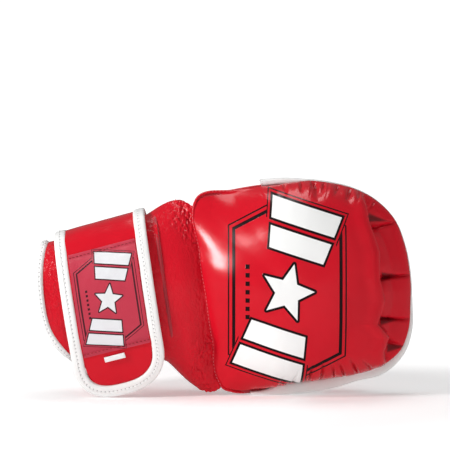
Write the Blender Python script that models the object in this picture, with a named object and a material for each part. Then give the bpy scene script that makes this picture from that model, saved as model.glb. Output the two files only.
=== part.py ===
"""A padded right-hand MMA glove standing on its little-finger edge, modelled in Blender.

+X runs from the wrist opening to the fingertips, -Y out of the back of the hand, +Z from the
little-finger edge to the thumb side. Sizes are in millimetres and turned into metres by MM.
"""

import math

import bmesh
import bpy
from mathutils import Matrix, Vector

MM = 0.001
ORIGIN = Vector((0.4, 3.6, 0.0))          # what the driving sizes call the bottom centre of the glove

# Driving sizes.
LEATHER = 1.6          # thickness of the cover leather
GAP = 0.4              # clearance between pieces that touch
PAD_CENTRE = (46.0, 66.0)          # X and Z of the middle of the hand pad
PAD_OUTLINE = (                    # X and Z of the hand pad's edge, from the thumb side round to the wrist
    (-19, 126), (3, 131.2), (23, 134.6), (36, 135.6), (50, 135), (66, 133.2), (82, 129), (95, 122.2),
    (107, 110), (114, 93.5), (117.5, 76), (118.6, 58), (118, 38), (112.5, 24), (101, 13.2), (84, 7),
    (65, 4), (45, 2), (20, 0), (3, 0.5), (-4, 6), (-9, 34), (-13.5, 64), (-17.5, 94),
)
PAD_INSET = 3.2                    # the shell's edge lies this far inside the outline
FOAM_DEPTH = 30.0                  # height of the pad's dome over the lining
LINING_HOLLOW = -8.0               # Y of the lining at the middle of the pad
LINING_INSET = PAD_INSET + LEATHER + GAP
PIPING_RADIUS = 2.6
SEAM_CORNERS = (231.0, 141.0)      # angles of the two ends of the wrist seam about the pad's centre
SEAM_GAP = 1.2                     # clearance between the pad's edge and the sleeve
SLEEVE_PALM = (-21.5, 35.0, 66.0)  # the sleeve's edge over the middle of the palm
SLEEVE_SWELL = 2.0
WRIST_AXIS = Vector((-30.0, 5.0, 69.0))    # the wrist bends about the upright line through this point

CUFF_TOP = Vector((-36.0, 6.0, 69.0))      # middle of the cuff's hand end
CUFF_TILT = math.radians(8.5)              # the cuff's axis falls towards the wrist opening
CUFF_LENGTH = 78.0
CUFF_HALF_HEIGHT = (47.0, 37.5)            # at the hand end and at the opening
CUFF_HALF_DEPTH = (29.0, 25.0)
CUFF_TRIM = (6.0, 16.0)                    # how much shorter the cuff is at its top and bottom
CUFF_FOAM = 4.0
CUFF_SLIT = (-146.0, 206.0)                # angles of the two edges of the palm slit
SECTION_POWER = 2.4                        # superellipse power of the wrist's cross-section

STRAP_WIDTH = 58.0
STRAP_START = 7.0                          # from the cuff's hand end to the strap's edge
STRAP_BINDING = 7.5
STRAP_OFFSET = 3.6                         # from the cuff's surface to the strap's inner face
STRAP_LEATHER = 2.0
STRAP_FOLD = 62.0                          # section angle of the fold where the flap starts
FLAP_STRAIGHT_FROM = -38.0                 # section angle where the flap leaves the cuff's curve
FLAP_LENGTH = 111.0
FLAP_END = 27.0                            # length of the flap's rounded end
FLAP_END_POWER = 2.6                       # superellipse power of that end

THUMB_EDGE = (10.0, 126.0)                 # Y and Z of the edge on the thumb side
THUMB_RIM = (35.0, 67.0)                   # Y and Z of the rim over the palm
THUMB_ROOT_X = 2.0                         # where the thumb piece meets its gusset
THUMB_CROWN = 9.5
THUMB_TIP = ((0.0, 30.0), (0.2, 38.0), (0.41, 48.5), (0.54, 56.0), (0.67, 59.5), (0.8, 58.5),
             (0.91, 53.5), (1.0, 43.0))   # share of the way round, and X of the arched rim

FINGERS = ("index", "middle", "ring", "little")
SEAM_Z = (131.5, 103.0, 73.0, 43.0, 9.0)   # Z of the seams on each side of the four fingers
LOOP_HEIGHT = (29.0, 33.0, 33.0, 29.0)     # how far each loop stands off the lining
LOOP_LEATHER = 1.6
LOOP_WIDTH = (18.0, 20.0, 20.0, 19.0)      # width of the band that lies over each finger
LOOP_ROOT_X = (63.5, 66.0, 66.0, 64.0)
FOOT_GAP = 0.9                             # clearance of a loop's foot over the curved lining

RED, DARK_RED = (0.62, 0.008, 0.02, 1), (0.4, 0.006, 0.015, 1)
WHITE, GREY, BLACK = (0.85, 0.85, 0.84, 1), (0.35, 0.36, 0.38, 1), (0.02, 0.02, 0.02, 1)


def in_metres(point):
    """The world place of a point given in the driving sizes."""
    return (point - ORIGIN) * MM


def clear_scene():
    for obj in list(bpy.data.objects):
        bpy.data.objects.remove(obj)


def material(name, colour, roughness):
    made = bpy.data.materials.get(name) or bpy.data.materials.new(name)
    made.use_nodes = True
    shader = made.node_tree.nodes["Principled BSDF"]
    shader.inputs["Base Color"].default_value = colour
    shader.inputs["Roughness"].default_value = roughness
    shader.inputs["Metallic"].default_value = 0.0
    return made


def finish(name, mesh, look, sharp=35):
    """Turns a filled bmesh into the named object, with its faces pointing out."""
    bmesh.ops.recalc_face_normals(mesh, faces=mesh.faces)
    data = bpy.data.meshes.new(name)
    mesh.to_mesh(data)
    mesh.free()
    data.shade_smooth()
    data.set_sharp_from_angle(angle=math.radians(sharp))
    data.materials.append(material(*look))
    obj = bpy.data.objects.new(name, data)
    bpy.context.scene.collection.objects.link(obj)
    return obj


RED_LEATHER = ("red_leather", RED, 0.3)
LINING_LEATHER = ("lining_leather", DARK_RED, 0.5)
WHITE_BINDING = ("white_binding", WHITE, 0.4)
FOAM = ("foam", GREY, 0.9)
TOUCH_TAPE = ("touch_tape", BLACK, 0.9)
LABEL = ("woven_label", DARK_RED, 0.6)


# ---- curves and surfaces -------------------------------------------------------------------------

def mix(a, b, t):
    return a + (b - a) * t


def cubic(p0, p1, p2, p3, t):
    """Catmull-Rom value between p1 and p2."""
    return 0.5 * (2 * p1 + (p2 - p0) * t + (2 * p0 - 5 * p1 + 4 * p2 - p3) * t * t
                  + (3 * p1 - p0 - 3 * p2 + p3) * t ** 3)


def outline_table():
    """(angle, radius) of each outline point about the pad's centre, sorted by angle."""
    table = []
    for x, z in PAD_OUTLINE:
        dx, dz = x - PAD_CENTRE[0], z - PAD_CENTRE[1]
        table.append((math.atan2(dz, dx) % math.tau, math.hypot(dx, dz)))
    return sorted(table)


OUTLINE = outline_table()


def outline_radius(angle):
    """Distance from the pad's centre to its outline."""
    angle %= math.tau
    n = len(OUTLINE)
    i = sum(1 for a, _ in OUTLINE if a <= angle) - 1
    start, end = OUTLINE[i][0], OUTLINE[(i + 1) % n][0]
    span = (end - start) % math.tau
    t = ((angle - start) % math.tau) / span
    return cubic(*(OUTLINE[(i + k) % n][1] for k in (-1, 0, 1, 2)), t)


def edge_y(angle):
    """Y of the pad's edge: curled to the palm at the fingertips, drawn to the back at the wrist seam."""
    c = math.cos(angle)
    return 4 + 11 * max(0, c) ** 1.5 - 22 * max(0, -c) ** 3


def lining_y(angle, share):
    """Y of the lining, at a share of the way from the pad's centre to its outline."""
    return mix(LINING_HOLLOW, edge_y(angle), share ** 2.2)


def pad_share(x, z):
    """(angle, share of the way to the lining's edge) of a place on the pad."""
    dx, dz = x - PAD_CENTRE[0], z - PAD_CENTRE[1]
    angle = math.atan2(dz, dx)
    return angle, math.hypot(dx, dz) / (outline_radius(angle) - LINING_INSET)


def lining_y_at(x, z):
    angle, share = pad_share(x, z)
    return lining_y(angle, min(1.0, share))


def fingertip_x(z, most):
    """X of the place towards the fingertips at that share of the way to the lining's edge."""
    x = PAD_CENTRE[0]
    while pad_share(x + 0.5, z)[1] < most:
        x += 0.5
    return x


def kept_inside(x, z, most=0.985):
    """z, moved towards the pad's middle until the place lies inside the lining's edge."""
    while pad_share(x, z)[1] > most:
        z += math.copysign(0.5, PAD_CENTRE[1] - z)
    return z


def pad_point(angle, share, depth, inset, floor=0.0):
    """A point of a pad surface that domes depth towards the back; share runs from centre to edge."""
    radius = outline_radius(angle)
    reach = (radius - inset) * share
    wrist = max(0.0, -math.cos(angle))
    dome = depth * (1 - share ** mix(4, 2.4, wrist)) ** mix(0.62, 0.8, wrist) if share < 1 else 0.0
    x = PAD_CENTRE[0] + reach * math.cos(angle)
    z = PAD_CENTRE[1] + reach * math.sin(angle)
    return Vector((x, lining_y(angle, min(1.0, reach / (radius - LINING_INSET))) - dome, max(z, floor)))


def power(value, exponent):
    return math.copysign(abs(value) ** exponent, value)


def section(angle, half_depth, half_height):
    """(Y, height) on the wrist's cross-section: 0 is the back, 90 the thumb side, 180 the palm."""
    e = 2 / SECTION_POWER
    a = math.radians(angle)
    return -half_depth * power(math.cos(a), e), half_height * power(math.sin(a), e)


def cuff_point(along, y, height):
    """A point given by its distance along the cuff's axis and its place in the cross-section."""
    c, s = math.cos(CUFF_TILT), math.sin(CUFF_TILT)
    return CUFF_TOP + Vector((-c * along - s * height, y, -s * along + c * height))


def cuff_end(angle, inset=0.0):
    """How far along the cuff its slanted open edge lies at that section angle."""
    rise = section(angle, 1.0, 1.0)[1]
    return CUFF_LENGTH - inset - CUFF_TRIM[0 if rise > 0 else 1] * abs(rise) ** 2.5


def cuff_surface(along, angle, offset):
    share = along / CUFF_LENGTH
    y, height = section(angle, mix(*CUFF_HALF_DEPTH, share) + offset, mix(*CUFF_HALF_HEIGHT, share) + offset)
    return cuff_point(along, y, height)


# ---- mesh builders -------------------------------------------------------------------------------

def grid(mesh, rows):
    """Vertices and faces of a grid of points; returns the vertices row by row."""
    made = [[mesh.verts.new(in_metres(p)) for p in row] for row in rows]
    for a, b in zip(made, made[1:]):
        for k in range(len(a) - 1):
            mesh.faces.new((a[k], a[k + 1], b[k + 1], b[k]))
    return made


def close_sheets(mesh, top, under):
    """Walls between the borders of two grids of the same size."""
    def border(rows):
        return (rows[0][:-1] + [r[-1] for r in rows[:-1]] + rows[-1][:0:-1] + [r[0] for r in rows[:0:-1]])
    a, b = border(top), border(under)
    for k in range(len(a)):
        n = (k + 1) % len(a)
        mesh.faces.new((a[k], a[n], b[n], b[k]))


def sheet(name, look, outer, inner, across, along, floor=None):
    """A closed sheet between two surfaces, each a function of (u, v) from 0 to 1."""
    mesh = bmesh.new()
    sides = []
    for surface in (outer, inner):
        rows = [[surface(i / across, j / along) for i in range(across + 1)] for j in range(along + 1)]
        for row in rows:
            for p in row:
                p.z = max(p.z, floor) if floor is not None else p.z
        sides.append(grid(mesh, rows))
    close_sheets(mesh, *sides)
    return finish(name, mesh, look)


def offset_surface(surface, distance, step=0.004):
    """The surface moved along its own normal, which points as u x v does."""
    def moved(u, v):
        u0, u1 = max(0, u - step), min(1, u + step)
        v0, v1 = max(0, v - step), min(1, v + step)
        normal = (surface(u1, v) - surface(u0, v)).cross(surface(u, v1) - surface(u, v0)).normalized()
        return surface(u, v) + normal * distance
    return moved


def lens(name, look, outer, inner, around=44, rings=(0.3, 0.55, 0.75, 0.88, 0.96, 1.0)):
    """A closed disc between two surfaces of (angle, share), joined at their rims."""
    mesh = bmesh.new()
    rims = []
    for surface in (outer, inner):
        hub = mesh.verts.new(in_metres(surface(0.0, 0.0)))
        circles = [[mesh.verts.new(in_metres(surface(k * math.tau / around, r))) for k in range(around)]
                   for r in rings]
        for k in range(around):
            n = (k + 1) % around
            mesh.faces.new((hub, circles[0][k], circles[0][n]))
            for a, b in zip(circles, circles[1:]):
                mesh.faces.new((a[k], b[k], b[n], a[n]))
        rims.append(circles[-1])
    for k in range(around):
        n = (k + 1) % around
        mesh.faces.new((rims[0][k], rims[1][k], rims[1][n], rims[0][n]))
    return finish(name, mesh, look)


def sweep(name, look, stations, profile, floor=None):
    """A closed bar: the profile's (a, b) points placed at each station (point, axis a, axis b)."""
    mesh = bmesh.new()
    rings = []
    for point, a_axis, b_axis in stations:
        ring = [point + a_axis * a + b_axis * b for a, b in profile]
        for p in ring:
            p.z = max(p.z, floor) if floor is not None else p.z
        rings.append([mesh.verts.new(in_metres(p)) for p in ring])
    for a, b in zip(rings, rings[1:]):
        for k in range(len(profile)):
            n = (k + 1) % len(profile)
            mesh.faces.new((a[k], a[n], b[n], b[k]))
    mesh.faces.new(rings[0])
    mesh.faces.new(rings[-1])
    return finish(name, mesh, look)


def round_profile(radius, sides=8):
    return [(radius * math.cos(k * math.tau / sides), radius * math.sin(k * math.tau / sides))
            for k in range(sides)]


def tape_profile(half_width, half_thickness):
    """A flat tape with its four corners taken off."""
    w, t = half_width, half_thickness
    c = 0.6 * min(w, t)
    return [(w, -t + c), (w, t - c), (w - c, t), (c - w, t),
            (-w, t - c), (-w, c - t), (c - w, -t), (w - c, -t)]


# ---- hand pad ------------------------------------------------------------------------------------

def build_pad():
    """The dome over the back of the hand: leather shell, foam core, lining and edge piping."""
    def layer(inset, base, dome, floor):
        """A pad surface that stands base off the lining at its rim and base + dome at its middle."""
        def surface(a, r):
            p = pad_point(a, r, dome, PAD_INSET + inset, floor)
            p.y -= base
            return p
        return surface

    inside = LEATHER + GAP
    skin = 0.6                     # half the lining's thickness
    foam_base = skin + GAP
    foam_dome = FOAM_DEPTH - inside - foam_base
    lens("dorsal_shell", RED_LEATHER, layer(0, 0, FOAM_DEPTH, 0.0),
         layer(LEATHER, 0, FOAM_DEPTH - LEATHER, LEATHER))
    foam_inset = inside + 1.6      # the foam's thin edge stops short of the shell's
    lens("knuckle_foam", FOAM, layer(foam_inset, foam_base + 0.6, foam_dome - 0.6, inside),
         layer(foam_inset, foam_base, 0, inside))
    lens("dorsal_lining", LINING_LEATHER, layer(inside, skin, 0, inside), layer(inside, -skin, 0, inside),
         rings=(0.35, 0.65, 0.88, 1.0))


def rim_stations(start, end, steps, outset):
    """Stations along the pad's outline from one angle to the other, in degrees."""
    stations = []
    for k in range(steps + 1):
        a = math.radians(mix(start, end, k / steps))
        out = Vector((math.cos(a), 0, math.sin(a)))
        reach = outline_radius(a) + outset
        point = Vector((PAD_CENTRE[0], edge_y(a), PAD_CENTRE[1])) + out * reach
        stations.append((point, out, Vector((0, 1, 0))))
    return stations


def build_piping():
    stations = rim_stations(112, -112, 56, PIPING_RADIUS + GAP - PAD_INSET)
    sweep("edge_piping", WHITE_BINDING, stations, round_profile(PIPING_RADIUS), floor=0.0)


# ---- finger loops --------------------------------------------------------------------------------

def loop_surface(finger, extra):
    """The U of leather that one finger passes through; u runs round it and v along the finger."""
    high, low = SEAM_Z[finger] - 1.0, SEAM_Z[finger + 1] + 1.0
    middle, half = (high + low) / 2, (high - low) / 2

    def surface(u, v):
        a = math.pi * u
        bulge = math.sin(a)
        spread = middle + half * power(math.cos(a), 0.75)
        root_x = LOOP_ROOT_X[finger] + 2 * bulge
        seam_tip = max(fingertip_x(spread, 0.9), root_x + LOOP_WIDTH[finger])
        tip_x = mix(seam_tip, root_x + LOOP_WIDTH[finger], bulge ** 0.8)
        x = mix(root_x, tip_x, v)
        z = kept_inside(x, spread) - extra * math.cos(a)
        foot = lining_y_at(x, z) + 0.6 + FOOT_GAP
        top = LOOP_HEIGHT[finger] + 2
        y = mix(foot, top, bulge ** 0.75) - extra * bulge
        return Vector((x, max(y, foot), max(z, 2.4)))
    return surface


def build_loops():
    for k, finger in enumerate(FINGERS):
        sheet(f"finger_loop_{finger}", RED_LEATHER, loop_surface(k, 0.0), loop_surface(k, LOOP_LEATHER),
              20, 4)


def build_fingertip_facing():
    """The leather strip behind the fingertips, to which the loops' front corners are sewn."""
    def strip(lift):
        def surface(u, v):
            a = math.radians(mix(46, -46, u))
            p = pad_point(a, mix(0.92, 0.985, v), 0.0, LINING_INSET)
            p.y += lift
            return p
        return surface
    low = 0.6 + FOOT_GAP
    sheet("fingertip_facing", RED_LEATHER, strip(low), strip(low + 1.2), 24, 2)


# ---- thumb ---------------------------------------------------------------------------------------

def thumb_tip_x(share):
    points = THUMB_TIP
    for k in range(len(points) - 1):
        if share <= points[k + 1][0] or k == len(points) - 2:
            before, after = points[max(0, k - 1)], points[min(len(points) - 1, k + 2)]
            t = (share - points[k][0]) / (points[k + 1][0] - points[k][0])
            return cubic(before[1], points[k][1], points[k + 1][1], after[1], t)


def thumb_arc(x, share, lift=0.0):
    """A point on the quarter oval that wraps the thumb side; share runs from its edge to its rim."""
    a = share * math.pi / 2
    depth = THUMB_RIM[0] - THUMB_EDGE[0] + lift
    height = THUMB_EDGE[1] - THUMB_RIM[1] + lift
    return Vector((x, THUMB_EDGE[0] + depth * math.sin(a), THUMB_RIM[1] + height * math.cos(a)))


def thumb_skin(lift, crown, inset=0.0):
    """The thumb piece as a surface of (u, v): u from the thumb side to the rim, v from root to tip."""
    def surface(u, v):
        share = mix(0.12 + inset * 0.02, 0.97 - inset * 0.012, u)
        x = mix(THUMB_ROOT_X + inset, thumb_tip_x(share) - inset, v)
        bump = crown * (math.sin(math.pi * u ** 1.4) * math.sin(math.pi * min(1, 0.08 + 0.92 * v))) ** 0.7
        return thumb_arc(x, share, lift + bump)
    return surface


def build_thumb():
    lining = 1.2
    foam_low = lining + GAP
    skin_low = foam_low + 2.0 + GAP
    sheet("thumb_lining", LINING_LEATHER, thumb_skin(lining, 0), thumb_skin(0, 0), 14, 8)
    sheet("thumb_foam", FOAM, thumb_skin(foam_low + 2.0, THUMB_CROWN, 2.5),
          thumb_skin(foam_low, 0, 2.5), 14, 8)
    sheet("thumb_shell", RED_LEATHER, thumb_skin(skin_low + LEATHER, THUMB_CROWN),
          thumb_skin(skin_low, THUMB_CROWN), 14, 8)
    build_thumb_binding(skin_low + LEATHER)


def build_thumb_binding(thickness):
    """White tape along the arched tip and down the palm rim."""
    path = []
    for k in range(19):
        share = mix(0.12, 0.97, k / 18)
        path.append(thumb_arc(thumb_tip_x(share), share, thickness / 2))
    end = path[-1]
    corner = thumb_arc(end.x - 3, 1.0, thickness / 2)
    path += [thumb_arc(mix(corner.x, THUMB_ROOT_X, k / 5), 1.0, thickness / 2) for k in range(6)]
    stations = []
    half = 2.6
    for k, point in enumerate(path):
        along = (path[min(k + 1, len(path) - 1)] - path[max(k - 1, 0)]).normalized()
        share = min(1.0, mix(0.12, 0.97, k / 18))
        a = share * math.pi / 2
        normal = Vector((0, math.sin(a), math.cos(a)))
        out = along.cross(normal).normalized()
        if out.x < 0 and k < 10 or out.z > 0 and k >= 18:
            out = -out
        stations.append((point + out * (half + GAP), out, normal))
    sweep("thumb_binding", WHITE_BINDING, stations, tape_profile(half, thickness / 2 + 0.4))


def build_thumb_gusset():
    """The fixed corner of the thumb pocket between the wrist sleeve and the thumb piece."""
    def skin(lift):
        def surface(u, v):
            place = thumb_arc(mix(-19.0, THUMB_ROOT_X - 1.2, v), mix(0.08, 0.97, u), lift)
            place.z = mix(THUMB_RIM[1], place.z, mix(0.88, 1.0, v))
            return place
        return surface
    sheet("thumb_gusset", RED_LEATHER, skin(LEATHER + 1.2), skin(1.2), 14, 2)

    def divider(side):
        def surface(u, v):
            x, z = mix(14, 48, u), mix(63.5, 61.5, v) + side
            foot = lining_y_at(x, z) + 0.6 + GAP
            return Vector((x, mix(foot, 23, v), z))
        return surface
    sheet("thumb_divider", LINING_LEATHER, divider(1.4), divider(0), 6, 3)


# ---- wrist ---------------------------------------------------------------------------------------

def sleeve_end(angle):
    """The sleeve's edge at the hand: along the pad's seam over the back, and an oval over the palm."""
    if math.cos(math.radians(angle)) > 0:
        a = math.radians(mix(*SEAM_CORNERS, (angle + 90) / 180))
        reach = outline_radius(a) - PAD_INSET + SEAM_GAP
        return Vector((PAD_CENTRE[0] + reach * math.cos(a), edge_y(a), PAD_CENTRE[1] + reach * math.sin(a)))
    top, bottom = sleeve_end(89.9), sleeve_end(-89.9)
    corner = top if math.sin(math.radians(angle)) > 0 else bottom
    y, rise = section(angle, 1.0, 1.0)
    share = abs(rise)
    return Vector((mix(SLEEVE_PALM[0], corner.x, share ** 2), mix(corner.y, SLEEVE_PALM[1], y),
                   mix(SLEEVE_PALM[2], corner.z, share)))


def sleeve_surface(u, v):
    """The soft leather between the pad's seam and the cuff; u runs round from slit to slit."""
    angle = mix(*CUFF_SLIT, u)
    place = cuff_surface(-1.5, angle, 0).lerp(sleeve_end(angle), v)
    place.y -= SLEEVE_SWELL * math.sin(math.pi * v) * math.cos(math.radians(angle))
    return place


def build_sleeve():
    sheet("wrist_sleeve", RED_LEATHER, sleeve_surface, offset_surface(sleeve_surface, LEATHER), 44, 4)


def cuff_layer(name, look, high, low, inset=0.0):
    """One layer of the C-shaped tube, from the sleeve to its slanted open edge."""
    def layer(offset):
        def surface(u, v):
            angle = mix(*CUFF_SLIT, u)
            return cuff_surface(mix(inset, cuff_end(angle, inset), v), angle, offset)
        return surface
    sheet(name, look, layer(high), layer(low), 36, 3)


def build_cuff():
    """Three layers of a C-shaped tube with its slit on the palm, its bound edge and the loop tape."""
    foam_high = -LEATHER - GAP
    foam_low = foam_high - CUFF_FOAM
    cuff_layer("cuff_shell", RED_LEATHER, 0, -LEATHER)
    cuff_layer("cuff_foam", FOAM, foam_high, foam_low, 2)
    cuff_layer("cuff_lining", LINING_LEATHER, foam_low - GAP, foam_low - GAP - 1.2)
    steps = 44
    stations = []
    for k in range(steps + 1):
        angle = mix(*CUFF_SLIT, k / steps)
        end = cuff_end(angle, -2.6 - GAP)
        middle = cuff_surface(end, angle, foam_low / 2)
        outer = cuff_surface(end, angle, 0)
        out = (outer - middle).normalized()
        along = cuff_point(1, 0, 0) - cuff_point(0, 0, 0)
        stations.append((middle, along, out))
    sweep("cuff_binding", WHITE_BINDING, stations, tape_profile(2.6, 4.4))

    def hooked(offset):
        return lambda u, v: cuff_surface(mix(14, 56, v), mix(-48, 48, u), offset)
    sheet("loop_tape", TOUCH_TAPE, hooked(GAP + 1.2), hooked(GAP), 12, 3)


# ---- strap ---------------------------------------------------------------------------------------

def strap_place(along, travel, offset=0.0):
    """A point on the flap's inner face: travel is the distance from the fold, down over the back."""
    along += STRAP_START
    share = along / CUFF_LENGTH
    depth = mix(*CUFF_HALF_DEPTH, share) + STRAP_OFFSET + offset
    tall = mix(*CUFF_HALF_HEIGHT, share) + STRAP_OFFSET + offset
    angle, gone = STRAP_FOLD, 0.0
    here = Vector(section(angle, depth, tall))
    step = 2.0
    while angle > FLAP_STRAIGHT_FROM:
        nxt = Vector(section(angle - step, depth, tall))
        length = (nxt - here).length
        if gone + length >= travel:
            point = here.lerp(nxt, (travel - gone) / length)
            return cuff_point(along, point.x, point.y)
        here, gone, angle = nxt, gone + length, angle - step
    before = Vector(section(angle + step, depth, tall))
    heading = ((here - before).normalized() + Vector((0.0, -0.7))).normalized()
    point = here + heading * (travel - gone)
    return cuff_point(along, point.x, point.y)


def flap_end(along):
    """How far the flap's rounded leather end reaches at a place across the strap."""
    half = STRAP_WIDTH / 2 - STRAP_BINDING
    share = min(1.0, abs(along - STRAP_WIDTH / 2) / half)
    reach = FLAP_END - STRAP_BINDING - 3 * GAP
    return FLAP_LENGTH - FLAP_END + reach * (1 - share ** FLAP_END_POWER) ** (1 / FLAP_END_POWER)


def flap_layer(name, look, high, low, sides, travel, across, along, rounded=False):
    def layer(offset):
        def surface(u, v):
            place = mix(*sides, (1 - math.cos(math.pi * u)) / 2 if rounded else u)
            last = flap_end(place) if rounded else travel[1]
            return strap_place(place, mix(travel[0], last, v), offset)
        return surface
    return sheet(name, look, layer(high), layer(low), across, along)


def flap_edge_path():
    """(along, travel) points down one long edge of the flap, round its end and up the other."""
    inset = STRAP_BINDING / 2
    low, high = inset - GAP / 2, STRAP_WIDTH - inset + GAP / 2
    end_from = FLAP_LENGTH - FLAP_END
    e = 2 / FLAP_END_POWER
    down = [(low, mix(2.5, end_from - 2, k / 14)) for k in range(15)]
    turn = []
    for k in range(1, 20):
        a = math.pi * k / 20
        turn.append((STRAP_WIDTH / 2 - (high - low) / 2 * power(math.cos(a), e),
                     end_from + (FLAP_END - inset) * math.sin(a) ** e))
    up = [(high, t) for _, t in reversed(down)]
    return down + turn + up


def build_flap():
    """The free end of the strap: leather, hook tape, white binding, woven label and pull tab."""
    inner, outer = STRAP_BINDING, STRAP_WIDTH - STRAP_BINDING
    flap_layer("strap_flap", RED_LEATHER, STRAP_LEATHER, 0, (inner, outer), (2.5, 0), 10, 18, True)
    flap_layer("hook_tape", TOUCH_TAPE, -GAP, -GAP - 1.2, (12, 46), (26, 84), 4, 10)
    top = STRAP_LEATHER + GAP
    flap_layer("woven_label", LABEL, top + 0.8, top, (inner + 1.5, outer - 1.5), (16, 83), 8, 12)
    flap_layer("pull_tab", WHITE_BINDING, top + 1.2, top, (24.5, 37.5), (86, 89.5), 3, 2)
    path = flap_edge_path()
    stations = []
    for k, (along, travel) in enumerate(path):
        a0, a1 = path[max(0, k - 1)], path[min(len(path) - 1, k + 1)]
        middle = strap_place(along, travel, STRAP_LEATHER / 2)
        forward = (strap_place(*a1, STRAP_LEATHER / 2) - strap_place(*a0, STRAP_LEATHER / 2)).normalized()
        across = strap_place(along + 1, travel) - strap_place(along - 1, travel)
        down = strap_place(along, travel + 1) - strap_place(along, travel - 1)
        normal = across.cross(down).normalized()
        stations.append((middle, forward.cross(normal).normalized(), normal))
    sweep("flap_binding", WHITE_BINDING, stations, tape_profile(STRAP_BINDING / 2 - GAP / 2, 1.7))


def build_strap_root():
    """The sewn part of the strap, from the palm over the slit and round the thumb side to the fold."""
    angles = (STRAP_FOLD + 3.0, 226.0)

    def layer(high, low, start, end):
        def surface(offset):
            def point(u, v):
                angle = mix(*angles, u)
                rise = STRAP_OFFSET - 2.6 * min(1.0, (angle - STRAP_FOLD) / 60)
                return cuff_surface(mix(start, end, v) + STRAP_START, angle, rise + offset)
            return point
        return surface(high), surface(low)

    inner, outer = STRAP_BINDING, STRAP_WIDTH - STRAP_BINDING
    red = layer(STRAP_LEATHER, 0, inner, outer)
    sheet("strap_root", RED_LEATHER, *red, 24, 3)
    edges = {"strap_binding_hand_side": (0.0, inner - GAP),
             "strap_binding_wrist_side": (outer + GAP, STRAP_WIDTH)}
    for name, (start, end) in edges.items():
        white = layer(STRAP_LEATHER + 0.7, -0.5, start, end)
        sheet(name, WHITE_BINDING, *white, 24, 2)


# ---- joints --------------------------------------------------------------------------------------

def add_axis(name, point, nodes, parent=None):
    """An empty on a joint's axis, from which the moving pieces hang."""
    axis = bpy.data.objects.new(name, None)
    axis.location = in_metres(point)
    bpy.context.scene.collection.objects.link(axis)
    for piece in [bpy.data.objects[node] for node in nodes]:
        piece.parent = axis
        piece.matrix_parent_inverse = Matrix.Translation(-in_metres(point))
    if parent:
        axis.parent = bpy.data.objects[parent]
        axis.matrix_parent_inverse = Matrix.Translation(-bpy.data.objects[parent].location)


def add_axes():
    add_axis("wrist_axis", WRIST_AXIS, (
        "cuff_shell", "cuff_foam", "cuff_lining", "cuff_binding", "loop_tape", "strap_root",
        "strap_binding_hand_side", "strap_binding_wrist_side"))
    fold = cuff_surface(STRAP_START + STRAP_WIDTH / 2, STRAP_FOLD, STRAP_OFFSET + STRAP_LEATHER / 2)
    add_axis("strap_axis", fold, ("strap_flap", "flap_binding", "hook_tape", "woven_label", "pull_tab"),
             "wrist_axis")
    add_axis("thumb_axis", Vector((THUMB_ROOT_X, *THUMB_EDGE)),
             ("thumb_shell", "thumb_foam", "thumb_lining", "thumb_binding"))


def main():
    clear_scene()
    build_pad()
    build_piping()
    build_loops()
    build_fingertip_facing()
    build_thumb()
    build_thumb_gusset()
    build_sleeve()
    build_cuff()
    build_strap_root()
    build_flap()
    add_axes()


main()
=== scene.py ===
"""The looks of a red padded sparring glove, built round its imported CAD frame.

Design places are in millimetres, in the same frame as the CAD: +X to the fingertips, -Y out of
the back of the hand, +Z to the thumb side. ORIGIN is the bottom centre of the glove.
"""
import math

import bmesh
import bpy
import numpy as np
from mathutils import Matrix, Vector

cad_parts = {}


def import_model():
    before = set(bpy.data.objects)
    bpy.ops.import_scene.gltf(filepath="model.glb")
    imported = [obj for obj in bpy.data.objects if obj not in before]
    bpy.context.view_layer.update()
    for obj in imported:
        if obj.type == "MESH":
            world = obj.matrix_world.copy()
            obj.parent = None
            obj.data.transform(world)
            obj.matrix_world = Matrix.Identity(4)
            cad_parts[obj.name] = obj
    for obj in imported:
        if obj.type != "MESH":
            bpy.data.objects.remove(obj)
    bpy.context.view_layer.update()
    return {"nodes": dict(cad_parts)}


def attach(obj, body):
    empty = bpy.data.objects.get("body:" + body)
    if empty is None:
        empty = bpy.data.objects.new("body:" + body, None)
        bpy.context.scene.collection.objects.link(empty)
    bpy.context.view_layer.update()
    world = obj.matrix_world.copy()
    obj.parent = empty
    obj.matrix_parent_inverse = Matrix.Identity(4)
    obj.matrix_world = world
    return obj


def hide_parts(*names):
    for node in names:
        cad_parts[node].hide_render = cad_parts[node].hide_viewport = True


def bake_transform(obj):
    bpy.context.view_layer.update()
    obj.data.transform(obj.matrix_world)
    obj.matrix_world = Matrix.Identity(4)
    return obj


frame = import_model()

MM = 0.001
ORIGIN = np.array((0.4, 3.6, 0.0))
BACK, PALM = -1, 1                 # signs of Y on the two sides of the hand


# ---- numbers shared with the CAD -----------------------------------------------------------------

PAD_CENTRE = np.array((46.0, 66.0))
PAD_OUTLINE = (
    (-19, 126), (3, 131.2), (23, 134.6), (36, 135.6), (50, 135), (66, 133.2), (82, 129), (95, 122.2),
    (107, 110), (114, 93.5), (117.5, 76), (118.6, 58), (118, 38), (112.5, 24), (101, 13.2), (84, 7),
    (65, 4), (45, 2), (20, 0), (3, 0.5), (-4, 6), (-9, 34), (-13.5, 64), (-17.5, 94),
)
CUFF_TOP = np.array((-36.0, 6.0, 69.0))
CUFF_TILT = math.radians(8.5)
CUFF_LENGTH = 78.0
CUFF_HALF_HEIGHT = (47.0, 37.5)
CUFF_HALF_DEPTH = (29.0, 25.0)
CUFF_TRIM = (6.0, 16.0)
CUFF_SLIT = (-146.0, 206.0)
SECTION_POWER = 2.4
STRAP_WIDTH = 58.0
STRAP_START = 7.0
STRAP_TAPE = 7.5
STRAP_OFFSET = 3.6
STRAP_FOLD = 62.0
FLAP_STRAIGHT_FROM = -38.0
FLAP_LENGTH = 111.0
FLAP_END = 27.0
FLAP_POWER = 2.6
FINGERS = ("index", "middle", "ring", "little")
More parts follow.
